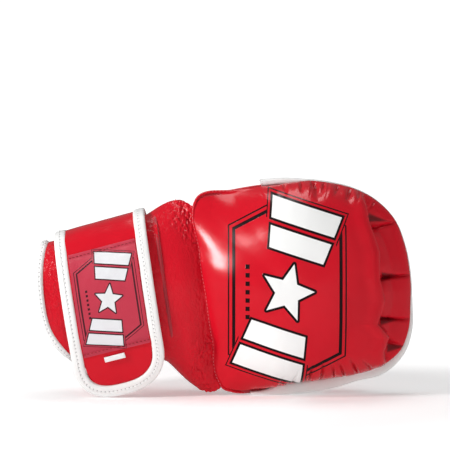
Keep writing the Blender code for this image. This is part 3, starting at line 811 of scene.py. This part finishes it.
def build_rim():
    """White tape round the fingertips, and a rolled red seam round the rest of the pad."""
    path, out = rim_path(108.5, -114, 420, -0.5)
    low = smooth((20 - path[:, 2]) / 14)
    path[:, 1] += 1.4 - 3.0 * low + 0.4 * lumps(path, 16, 21)
    path[:, 2] += 2.6 * np.exp(-((path[:, 0] - 86) / 15) ** 2) * low
    path, out = resample(path, 0.9, out)
    degrees = np.degrees(pad_polar(path[:, 0], path[:, 2])[0])
    wide = smooth(np.interp(degrees, (-113, -98, -48, -26), (0, 1, 1, 0)))
    path = path - out * (2.0 * wide)[:, None]
    piping = tape("edge_tape", path, out, 3.2, 2.2 + 1.5 * wide, WHITE_TAPE, sides=22)
    keep_above(piping, 0.0)
    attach(piping, "hand")
    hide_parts("edge_piping")
    line = path + np.array((0, -2.1, 0)) + out * (1.75 + 1.2 * wide)[:, None]
    line[:, 2] = np.maximum(line[:, 2], 1.2)
    stitch = threads("edge_tape_stitches", line, out + np.array((0, -0.9, 0)), 3.0, WHITE_THREAD, 2.0, 0.26)
    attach(stitch, "hand")
    path, out = rim_path(108, 248, 200, -2.7)
    path[:, 1] += 0.4
    path, out = resample(path, 0.9, out)
    welt = tape("wrist_seam_roll", path, out, 1.1, 1.0, GLOSS_RED, sides=12, blunt=0.9)
    keep_above(welt, 0.0002)
    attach(welt, "hand")
    line = path + np.array((0, -1.0, 0)) + out * 0.5
    line[:, 2] = np.maximum(line[:, 2], 1.0)
    stitch = threads("wrist_seam_stitches", line, out + np.array((0, -1.6, 0)), 2.3, PALE_THREAD, 1.5, 0.22)
    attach(stitch, "hand")


# ---- wrist ---------------------------------------------------------------------------------------

def sleeve_seam(angle):
    """The place on the pad's wrist seam that meets the sleeve at this angle, from -90 to 90."""
    back = np.radians(mix(231.0, 141.0, (angle + 90) / 180))
    return pad_place(back, outline_radius(back) - 2.6, edge_y(back))


def sleeve_edge(angle):
    """The sleeve's edge at the hand: the pad's seam over the back, and an oval over the palm."""
    y, rise = section(angle, 1.0, 1.0)
    top = (np.sin(np.radians(angle)) > 0)[..., None]
    corner = np.where(top, sleeve_seam(89.9), sleeve_seam(-89.9))
    palm = np.array((-21.5, 35.0, 66.0))
    away = abs(rise)
    oval = np.stack([mix(palm[0], corner[..., 0], away ** 2), mix(corner[..., 1], palm[1], y),
                     mix(palm[2], corner[..., 2], away)], -1)
    return np.where((np.cos(np.radians(angle)) > 0)[..., None], sleeve_seam(angle), oval)


def build_sleeve():
    across, down = 380, 130
    angle, v = np.meshgrid(np.linspace(*CUFF_SLIT, across), np.linspace(0, 1, down))
    start = cuff_surface(9.0, angle, 0.5)
    p = mix(start, sleeve_edge(angle), v[..., None])
    swell = np.sin(math.pi * v ** 1.6) ** 0.8
    turn = np.radians(angle)
    p[..., 1] -= 3.4 * swell * np.cos(turn)
    p[..., 2] += (3.6 + 3.0 * smooth(np.sin(turn)) + 5.5 * smooth(-np.sin(turn))) * swell * np.sin(turn)
    n = normals(p, BACK)
    q = p * (1.5, 1, 1)
    inside = smooth(v / 0.08) * smooth((1 - v) / 0.03)
    far = smooth((abs(p[..., 2] - 68) - 18) / 26)
    near_seam = smooth((v - mix(0.72, 0.40, far)) / 0.3)
    depth = 0.9 * lumps(p, (18, 28, 28), 31)
    crackle = 0.9 * creases(q, 4.6, 0.18, 33) + 0.8 * creases(q, 2.6, 0.22, 34) + 0.5 * lumps(q, 1.9, 35)
    depth += near_seam * mix(0.45, 0.8, far) * crackle
    p = p - n * (depth * inside)[..., None]
    p[..., 2] = np.maximum(p[..., 2], 0.8)
    sleeve = sheet("wrist_leather", p, SOFT_RED, p - n * LEATHER, inside=LINING)
    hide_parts("wrist_sleeve")
    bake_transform(sleeve)


def cuff_sheet(name, look, node, offset, thickness, wrinkle):
    angle, share = np.meshgrid(np.linspace(*CUFF_SLIT, 260), np.linspace(0, 1, 90))
    along = share * cuff_end(angle)
    p = cuff_surface(along, angle, offset)
    n = normals(p, BACK)
    q = cuff_place(along * 0.6, p[..., 1], p[..., 2])
    depth = 0.5 * lumps(p, 15, 41) + 0.6 * creases(q, 8, 0.11, 42) + 0.35 * creases(q, 4, 0.13, 43)
    p = p - n * (wrinkle * depth)[..., None]
    made = sheet(name, p, look, p - n * thickness)
    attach(made, "cuff")
    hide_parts(node)
    return made


def build_cuff():
    cuff_sheet("cuff_leather", SOFT_RED, "cuff_shell", 0, 1.6, 1.0)
    cuff_sheet("cuff_inner", LINING, "cuff_lining", -6.6, 1.0, 0.35)
    angle = np.linspace(*CUFF_SLIT, 360)
    middle = cuff_surface(cuff_end(angle) + 0.6, angle, -3.2)
    out = unit(cuff_surface(cuff_end(angle) + 0.6, angle, 0) - middle)
    middle = middle + 0.35 * lumps(middle, 14, 44)[:, None] * out
    path, out = resample(middle, 0.9, out)
    edge = tape("cuff_tape", path, out, 2.9, 4.6, WHITE_TAPE, sides=26)
    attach(edge, "cuff")
    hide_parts("cuff_binding")
    axis = cuff_place(1, 0, 0) - cuff_place(0, 0, 0)
    line = path + out * 4.55 - axis * 1.2
    stitch = threads("cuff_tape_stitches", line, out, 3.0, WHITE_THREAD, 2.0, 0.26)
    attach(stitch, "cuff")

    lower, upper = CUFF_SLIT[0] + 1, CUFF_SLIT[1] - 1
    down_lower = np.linspace(4, cuff_end(lower - 2) - 2, 90)
    down_upper = np.linspace(4, cuff_end(upper + 2) - 2, 90)
    round_hand_end = np.linspace(lower + 1, upper - 1, 260)
    for name, look, slot, along, angle in (
            ("cuff_slit_edge_upper", GLOSS_RED, "red_leather", down_upper, upper),
            ("cuff_slit_edge_lower", GLOSS_RED, "red_leather", down_lower, lower),
            ("cuff_inner_edge", LINING, "lining_leather", 0.8, round_hand_end)):
        middle = cuff_surface(along, angle, -3.8)
        out = unit(cuff_surface(along, angle, 0) - middle)
        cover = tape(name, middle, out, 1.4, 4.15, look, sides=22)
        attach(cover, "cuff")


# ---- strap ---------------------------------------------------------------------------------------

def strap_line(along, offset):
    """Places down one line of the strap: distance from the fold (root side below 0), Y and height."""
    share = (along + STRAP_START) / CUFF_LENGTH
    angle = np.arange(226.0, FLAP_STRAIGHT_FROM - 0.1, -2.0)
    rise = STRAP_OFFSET - 2.6 * np.clip((angle - STRAP_FOLD) / 60, 0, 1) + offset
    y, height = section(angle, mix(*CUFF_HALF_DEPTH, share) + rise, mix(*CUFF_HALF_HEIGHT, share) + rise)
    p = np.stack([y, height], 1)
    heading = unit(unit(p[-1] - p[-2]) + np.array((0, -0.7)))
    tail = p[-1] + heading * np.arange(2.0, 90.0, 2.0)[:, None]
    p = np.concatenate([p, tail])
    s = lengths(p)
    return s - np.interp(STRAP_FOLD, angle[::-1], s[:len(angle)][::-1]), p


def strap_points(along, travel, offset=0.0):
    along, travel, offset = np.broadcast_arrays(np.asarray(along, float), travel, offset)
    out = np.zeros((*along.shape, 3))
    keys = np.round(along, 4) + 1j * np.round(offset, 4)
    for key in np.unique(keys):
        pick = keys == key
        s, p = strap_line(key.real, key.imag)
        t = travel[pick]
        out[pick] = cuff_place(key.real + STRAP_START, np.interp(t, s, p[:, 0]), np.interp(t, s, p[:, 1]))
    return out


def flap_end(along):
    half = STRAP_WIDTH / 2 - STRAP_TAPE
    share = np.minimum(1, abs(along - STRAP_WIDTH / 2) / half)
    reach = FLAP_END - STRAP_TAPE - 1.2
    return FLAP_LENGTH - FLAP_END + reach * (1 - share ** FLAP_POWER) ** (1 / FLAP_POWER)


ROOT_END = max(strap_line(along, -1.0)[0][0] for along in (0.0, STRAP_WIDTH)) + 2.0


def strap_edge_path():
    """(along, travel) down one edge of the strap from its root, round the flap's end and back up."""
    inset = STRAP_TAPE / 2
    low, high = inset - 0.2, STRAP_WIDTH - inset + 0.2
    straight = FLAP_LENGTH - FLAP_END
    e = 2 / FLAP_POWER
    down = np.linspace(ROOT_END, straight - 2, 240)
    a = np.linspace(0, math.pi, 72)[1:-1]
    turn = np.stack([STRAP_WIDTH / 2 - (high - low) / 2 * signed_power(np.cos(a), e),
                     straight + (FLAP_END - inset) * np.sin(a) ** e], 1)
    left = np.stack([np.full_like(down, low), down], 1)
    right = np.stack([np.full_like(down, high), down[::-1]], 1)
    return np.concatenate([left, turn, right])


def blend_strap(piece):
    fold = strap_points(STRAP_WIDTH / 2, 0.0)
    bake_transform(piece)


def strap_normal(along, travel, offset):
    across = strap_points(along + 1, travel, offset) - strap_points(along - 1, travel, offset)
    down = strap_points(along, travel + 1, offset) - strap_points(along, travel - 1, offset)
    return unit(np.cross(across, down))


def build_strap():
    inner, outer = STRAP_TAPE - 1.5, STRAP_WIDTH - STRAP_TAPE + 1.5
    place = mix(inner, outer, (1 - np.cos(math.pi * np.linspace(0, 1, 61))) / 2)
    t = np.linspace(0, 1, 330)
    last = flap_end(np.clip(place, STRAP_TAPE + 0.02, STRAP_WIDTH - STRAP_TAPE - 0.02)) + 1.0
    travel = ROOT_END + (last - ROOT_END)[None] * t[:, None]
    along = np.broadcast_to(place, travel.shape)
    top = strap_points(along, travel, 1.9)
    low = strap_points(along, travel, 0.1)
    n = unit(top - low)
    folds = creases(top * (1, 1, 1.6), 12, 0.07, 53) * smooth((-travel - 2) / 20)
    top = top + n * (0.35 * lumps(top, 20, 51) + 0.15 * lumps(top, 7, 52) - 0.5 * folds)[..., None]
    leather_piece = sheet("strap_leather", top, GLOSS_RED, low, inside=LINING)
    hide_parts("strap_root", "strap_flap")
    blend_strap(leather_piece)

    edge = strap_edge_path()
    path = strap_points(edge[:, 0], edge[:, 1], 1.0)
    n = strap_normal(edge[:, 0], edge[:, 1], 1.0)
    path, n = resample(path, 0.8, n)
    path = path + n * (0.25 * lumps(path, 12, 54))[:, None]
    white = tape("strap_tape", path, n, STRAP_TAPE / 2, 1.75, WHITE_TAPE, sides=24, blunt=0.5)
    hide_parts("flap_binding", "strap_binding_hand_side", "strap_binding_wrist_side")
    blend_strap(white)
    out = np.cross(tangents(path), n)
    line = path + n * 1.70 - out * 0.4
    stitch = threads("strap_tape_stitches", line, n, 2.6, WHITE_THREAD, 1.7, 0.26)
    blend_strap(stitch)
    build_label()


LABEL = (16.0, 83.0)               # distances from the fold of the label's two ends
LABEL_RISE = 2.75
TAB_AT = 87.6


def build_label():
    place = np.linspace(STRAP_TAPE + 0.3, STRAP_WIDTH - STRAP_TAPE - 0.3, 70)
    along, travel = np.meshgrid(place, np.linspace(*LABEL, 96))
    top = strap_points(along, travel, LABEL_RISE)
    n = strap_normal(along, travel, LABEL_RISE)
    rim = np.minimum(travel - LABEL[0], LABEL[1] - travel)
    seam = np.exp(-(rim - 2.2) ** 2 / 1.2)
    top = top + n * (0.30 * lumps(top, 15, 61) + 0.12 * lumps(top, 5, 62) - 0.35 * seam)[..., None]
    uv = np.stack([STRAP_WIDTH - along, 106 - travel], -1)
    label = sheet("woven_label_piece", top, SATIN, top - n * 0.6, uv)
    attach(label, "strap")
    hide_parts("woven_label")
    for name, level in (("label_stitches_top", LABEL[0] + 2.2), ("label_stitches_bottom", LABEL[1] - 2.2)):
        row = np.linspace(STRAP_TAPE + 1, STRAP_WIDTH - STRAP_TAPE - 1, 60)
        line = strap_points(row, level, LABEL_RISE)
        up = strap_normal(row, np.full_like(row, level), LABEL_RISE)
        stitch = threads(name, line, up, 2.4, RED_THREAD, 1.6, 0.25)
        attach(stitch, "strap")
    row = np.linspace(24.5, 37.5, 40)
    line = strap_points(row, TAB_AT, 3.1)
    up = strap_normal(row, np.full_like(row, TAB_AT), 3.1)
    tab = tape("pull_tab_piece", line, up, 1.7, 0.7, WHITE_EDGE, sides=20, blunt=0.4)
    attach(tab, "strap")
    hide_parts("pull_tab")


# ---- thumb ---------------------------------------------------------------------------------------

THUMB_RIM = (35.0, 67.0)
THUMB_ROOT_X = 2.0
THUMB_TIP = ((0.0, 0.2, 0.41, 0.54, 0.67, 0.8, 0.91, 1.0), (28.0, 38.0, 48.5, 56.0, 59.5, 58.5, 53.5, 43.0))


def thumb_arc(x, share, lift):
    """The quarter oval that wraps the thumb side, from the pad's rim (share 0) to the palm rim (1)."""
    a = share * math.pi / 2
    edge_z = np.interp(x, (-19, 3, 23, 42, 60), (114, 119.5, 123.0, 125.5, 126))
    y = 8.0 + (THUMB_RIM[0] - 8.0 + lift) * np.sin(a)
    z = THUMB_RIM[1] + (edge_z - THUMB_RIM[1] + lift) * np.cos(a)
    return np.stack(np.broadcast_arrays(x, y, z), -1)


def thumb_tip(share):
    """X of the arched free edge, rounded between the table's points."""
    fine = np.linspace(-0.1, 1.1, 241)
    return np.interp(share, fine, rounded(np.interp(fine, *THUMB_TIP), 25))


def build_thumb():
    u, v = square_grid(150, 120)
    share = mix(0.0, 0.97, u)
    x = mix(THUMB_ROOT_X, thumb_tip(share), v)
    side = np.sin(math.pi * mix(0.02, 1, u) ** 1.4) ** 0.75
    crown = 9.5 * side * np.sin(math.pi * np.minimum(1, 0.10 + 0.90 * v)) ** 0.6
    p = thumb_arc(x, share, 4.2 + crown)
    n = normals(p, PALM)
    q = p * (1.4, 1, 1)
    rim = smooth((1 - v) / 0.25)
    depth = 0.8 * lumps(p, 14, 71) + 0.25 * lumps(p, 5, 72)
    depth += (1 - rim) * (1.1 * creases(np.stack([u * 60, v * 8, 0 * u], -1), 4.5, 0.17, 73))
    depth += 0.5 * smooth((0.3 - v) / 0.3) * creases(q, (8, 16, 16), 0.2, 74)
    seam = (v - 0.30 - 0.10 * np.sin(math.pi * u)) * 55
    depth += 1.5 * np.exp(-(seam / 0.9) ** 2) * smooth(u / 0.15)
    p = p - n * (depth * fade(v, 0.04) * fade(u, 0.05))[..., None]
    shell = sheet("thumb_leather", p, SOFT_RED, p - n * LEATHER)
    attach(shell, "thumb")
    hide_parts("thumb_shell")

    u, v = square_grid(40, 30, 0.05, 0.95)
    share = mix(0.06, 0.95, u)
    x = mix(THUMB_ROOT_X + 2, thumb_tip(share) - 2, v)
    swell = 7.0 * (np.sin(math.pi * u) * np.sin(math.pi * v)) ** 0.7
    foam = sheet("thumb_foam_pad", thumb_arc(x, share, 2.0 + swell), FOAM, thumb_arc(x, share, 1.3))
    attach(foam, "thumb")
    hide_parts("thumb_foam")

    u, v = square_grid(90, 70)
    share = mix(0.0, 0.97, u)
    x = mix(THUMB_ROOT_X, thumb_tip(share), v)
    face = thumb_arc(x, share, 1.1)
    inner = thumb_arc(x, share, 0.1 - 0.25 * lumps(face, 12, 76))
    lining = sheet("thumb_inner", face, LINING, inner)
    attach(lining, "thumb")
    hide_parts("thumb_lining")

    share = np.concatenate([np.linspace(0.02, 0.97, 120), np.full(50, 0.985)])
    x = np.concatenate([thumb_tip(share[:120]), np.linspace(thumb_tip(0.97) - 2, THUMB_ROOT_X - 1, 50)])
    path = thumb_arc(x, share, 2.8)
    out = np.stack([0 * x, np.sin(share * math.pi / 2), np.cos(share * math.pi / 2)], 1)
    path, out = resample(np.stack([rounded(path[:, k], 15) for k in range(3)], 1), 0.8, out)
    path = path + out * (0.3 * lumps(path, 13, 77))[:, None]
    white = tape("thumb_tape", path, out, 3.4, 3.1, WHITE_TAPE, sides=24, blunt=0.6)
    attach(white, "thumb")
    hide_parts("thumb_binding")
    stitch = threads("thumb_tape_stitches", path + out * 3.05, out, 2.8, WHITE_THREAD, 1.8, 0.26)
    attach(stitch, "thumb")


def build_gusset():
    u, v = square_grid(140, 60)
    share = mix(0.0, 0.97, u)
    p = thumb_arc(mix(-21.0, THUMB_ROOT_X + 1.5, v), share, mix(2.6, 3.6, v))
    n = normals(p, PALM)
    q = p * (1.3, 1, 1)
    depth = 0.5 * lumps(p, 12, 81) + 0.7 * creases(q, (10, 16, 16), 0.15, 82)
    p = p - n * (depth * fade(v, 0.1))[..., None]
    gusset = sheet("thumb_gusset_leather", p, SOFT_RED, p - n * 1.4, inside=LINING)
    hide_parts("thumb_gusset")
    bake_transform(gusset)

    u, v = square_grid(60, 30)
    x, z = mix(6, 50, u), mix(63.5, 61.0, v) + 1.2 * np.sin(u * 6) * v
    y = mix(lining_y_at(x, z) + 0.4, 21.0 - 3 * (u - 0.3) ** 2, v)
    face = np.stack([x, y, z], -1)
    face[..., 2] += 0.5 * lumps(face, 9, 84)
    divider = sheet("thumb_divider_leather", face + (0, 0, 1.4), DARK_RED, face)
    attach(divider, "hand")
    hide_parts("thumb_divider")


# ---- finger loops --------------------------------------------------------------------------------

LOOP_HEIGHT = (29.0, 33.0, 33.0, 29.0)
LOOP_WIDTH = (18.0, 20.0, 20.0, 19.0)
LOOP_ROOT_X = (63.5, 66.0, 66.0, 64.0)


def kept_inside(x, z):
    """z moved towards the pad's middle until the place lies inside the lining's edge."""
    for _ in range(80):
        out = pad_polar(x, z)[1] > 0.985
        z = np.where(out, z + np.sign(PAD_CENTRE[1] - z) * 0.25, z)
    return z


def fingertip_x(z):
    """X of the seam behind the fingertips, nine tenths of the way to the lining's edge."""
    x = np.full(np.shape(z), PAD_CENTRE[0])
    for _ in range(300):
        x = np.where(pad_polar(x, z)[1] < 0.9, x + 0.25, x)
    return x


def build_loops():
    for k, finger in enumerate(FINGERS):
        high, low = SEAM_Z[k] - 1.0, SEAM_Z[k + 1] + 1.0
        middle, half = (high + low) / 2, (high - low) / 2
        u, v = square_grid(140, 40)
        a = math.pi * u
        bulge = np.sin(a)
        spread = middle + half * signed_power(np.cos(a), 0.75)
        root = LOOP_ROOT_X[k] + 2 * bulge
        seam_tip = np.maximum(fingertip_x(spread), root + LOOP_WIDTH[k])
        tip = mix(seam_tip, root + LOOP_WIDTH[k], bulge ** 0.8)
        x = mix(root, tip, v)
        z = kept_inside(x, spread)
        foot = lining_y_at(x, z) + 1.3
        y = np.maximum(mix(foot, LOOP_HEIGHT[k] + 2, bulge ** 0.75), foot)
        y = y + 1.4 * (v - 0.5) * bulge + 1.2 * np.sin(a) * (2 * v - 1) ** 2
        p = np.stack([x, y, z], -1)
        p = p + (0.6 * lumps(p, 14, 90 + k) * bulge)[..., None] * (0.3, 1, 1)
        n = normals(p, PALM)
        outer = p - n * 0.1 - n * (0.5 * creases(p, (20, 9, 9), 0.09, 95 + k) * bulge)[..., None]
        loop = sheet(f"loop_{finger}", outer, GLOSS_RED, outer - n * LEATHER, inside=SUEDE,
                     round_edge=0.35, edge=WHITE_EDGE)
        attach(loop, "hand")
        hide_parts(f"finger_loop_{finger}")
    a, v = np.meshgrid(np.radians(np.linspace(46, -46, 160)), np.linspace(0, 1, 16))
    share = mix(0.90, 1.0, v)
    face = pad_place(a, (outline_radius(a) - LINING_INSET) * share, lining_y(a, share) + 1.5)
    face[..., 1] += 0.25 * lumps(face, 9, 99)
    strip = sheet("fingertip_strip", face, GLOSS_RED, face - np.array((0, 1.2, 0)))
    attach(strip, "hand")
    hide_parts("fingertip_facing")


# ---- studio --------------------------------------------------------------------------------------

AMBIENT = 0.20
STUDIO_RADIUS = 3.0                # metres
VIEW_WIDTH = 0.279                 # metres across the picture, at the glove
VIEW_RISE = math.radians(3.0)
LENS, SENSOR = 180.0, 36.0


def area_light(name, place, target, size, power):
    data = bpy.data.lights.new(name, "AREA")
    data.shape = "RECTANGLE"
    data.size, data.size_y = size
    data.energy = power
    light = bpy.data.objects.new(name, data)
    light.location = place
    light.rotation_euler = (Vector(target) - Vector(place)).to_track_quat("-Z", "Y").to_euler()
    bpy.context.scene.collection.objects.link(light)
    return light


def stage_object(name, look, place, build, **shape):
    made = bmesh.new()
    build(made, **shape)
    data = bpy.data.meshes.new(name)
    made.to_mesh(data)
    made.free()
    data.materials.append(look)
    piece = bpy.data.objects.new(name, data)
    piece.location = place
    bpy.context.scene.collection.objects.link(piece)
    return piece


def build_floor():
    """A pale floor that brightens into a white surround, which only the camera sees."""
    pale = Look("pale_floor", (0.90, 0.90, 0.90), 0.6, 0.02)
    pale.paint(pale.noise(3, 2) * 0.05, (0.88, 0.88, 0.89))
    place = pale.tree.nodes.new("ShaderNodeTexCoord").outputs["Object"]
    reach = pale.tree.nodes.new("ShaderNodeVectorMath")
    reach.operation = "LENGTH"
    pale.tree.links.new(place, reach.inputs[0])
    far = ((Val(pale.tree, reach.outputs["Value"]) - 0.16) * 3.0).clamp()
    glow = far * 0.65 + 0.34
    pale.shader.inputs["Emission Color"].default_value = (1, 1, 1, 1)
    pale.tree.links.new(glow.socket, pale.shader.inputs["Emission Strength"])
    floor = stage_object("floor", pale.done(), (0, 0, -0.0002), bmesh.ops.create_circle,
                         cap_ends=True, segments=96, radius=STUDIO_RADIUS)
    floor.visible_glossy = False
    white = Look("white_surround", (0, 0, 0), 1.0, 0.0)
    white.shader.inputs["Specular IOR Level"].default_value = 0.0
    white.shader.inputs["Emission Color"].default_value = (1, 1, 1, 1)
    white.shader.inputs["Emission Strength"].default_value = 1.1
    surround = stage_object("surround", white.done(), (0, 0, 0), bmesh.ops.create_uvsphere,
                            u_segments=48, v_segments=24, radius=STUDIO_RADIUS)
    surround.visible_diffuse = surround.visible_glossy = surround.visible_shadow = False


def build_studio():
    build_floor()
    world_look = bpy.data.worlds.new("studio")
    world_look.use_nodes = True
    world_look.node_tree.nodes["Background"].inputs[0].default_value = (1, 1, 1, 1)
    world_look.node_tree.nodes["Background"].inputs[1].default_value = AMBIENT
    bpy.context.scene.world = world_look
    bpy.context.scene.view_settings.view_transform = "Standard"
    middle = (0.0, 0.0, 0.07)
    area_light("key", (-1.0, -0.60, 0.64), middle, (0.26, 0.32), 11.5)
    area_light("fill", (1.0, -0.9, 0.45), middle, (0.5, 0.7), 0.15)
    front = area_light("front", (0.35, -1.1, 0.06), middle, (0.9, 0.1), 1.5)
    front.visible_glossy = False
    area_light("top", (0.0, 0.15, 1.15), middle, (0.6, 0.6), 4.2)

    distance = VIEW_WIDTH * LENS / SENSOR
    target = Vector(world(0.6, -22.0, 108.8))
    data = bpy.data.cameras.new("camera")
    data.lens, data.sensor_width = LENS, SENSOR
    camera = bpy.data.objects.new("camera", data)
    camera.location = target + Vector((0, -math.cos(VIEW_RISE), math.sin(VIEW_RISE))) * distance
    camera.rotation_euler = (target - camera.location).to_track_quat("-Z", "Y").to_euler()
    bpy.context.scene.collection.objects.link(camera)
    bpy.context.scene.camera = camera


def dress_hidden_nodes():
    """The CAD nodes that stay as they are get their finished materials."""
    looks = {"cuff_foam": FOAM, "hook_tape": TOUCH_TAPE, "loop_tape": TOUCH_TAPE}
    for name, look in looks.items():
        node = frame["nodes"][name]
        node.data.materials.clear()
        node.data.materials.append(look)


build_studio()
build_pad()
build_rim()
build_sleeve()
build_cuff()
build_strap()
build_thumb()
build_gusset()
build_loops()
dress_hidden_nodes()
